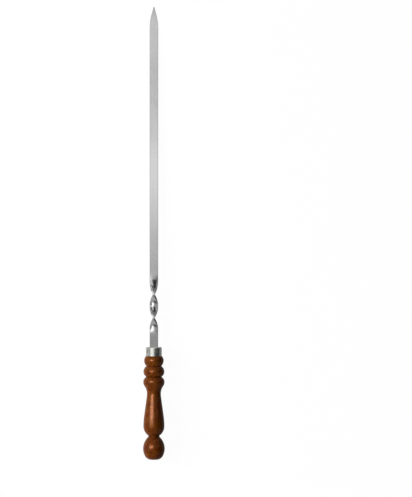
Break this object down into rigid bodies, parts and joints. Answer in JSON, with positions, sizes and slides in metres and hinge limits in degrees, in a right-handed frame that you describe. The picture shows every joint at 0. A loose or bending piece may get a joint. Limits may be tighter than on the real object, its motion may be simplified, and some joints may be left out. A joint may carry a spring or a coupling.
{
  "type": "kebab skewer",
  "caption": "Kebab skewer: long flat pointed steel blade with one turn of twist, plated ferrule cap and turned wooden handle with beads and an end ball.",
  "frame": {"origin": "centre of the flat butt at the ball end of the handle", "axes": "+X along the skewer to the point; +Z is the way the broad side of the blade faces when the skewer lies on a table"},
  "size_m": [0.6486, 0.031, 0.031],
  "materials": {
    "blade_steel": "stainless bar, brushed along its length, brighter where it was twisted",
    "stained_wood": "red-brown stained beech, turned, clear gloss lacquer",
    "plated_steel": "drawn steel cap, bright nickel plating",
    "cured_resin": "cured epoxy, not seen from outside"
  },
  "bodies": {
    "root": {"blade": "blade_steel", "handle": "stained_wood", "ferrule": "plated_steel", "tang_adhesive": "cured_resin"}
  },
  "joints": []
}
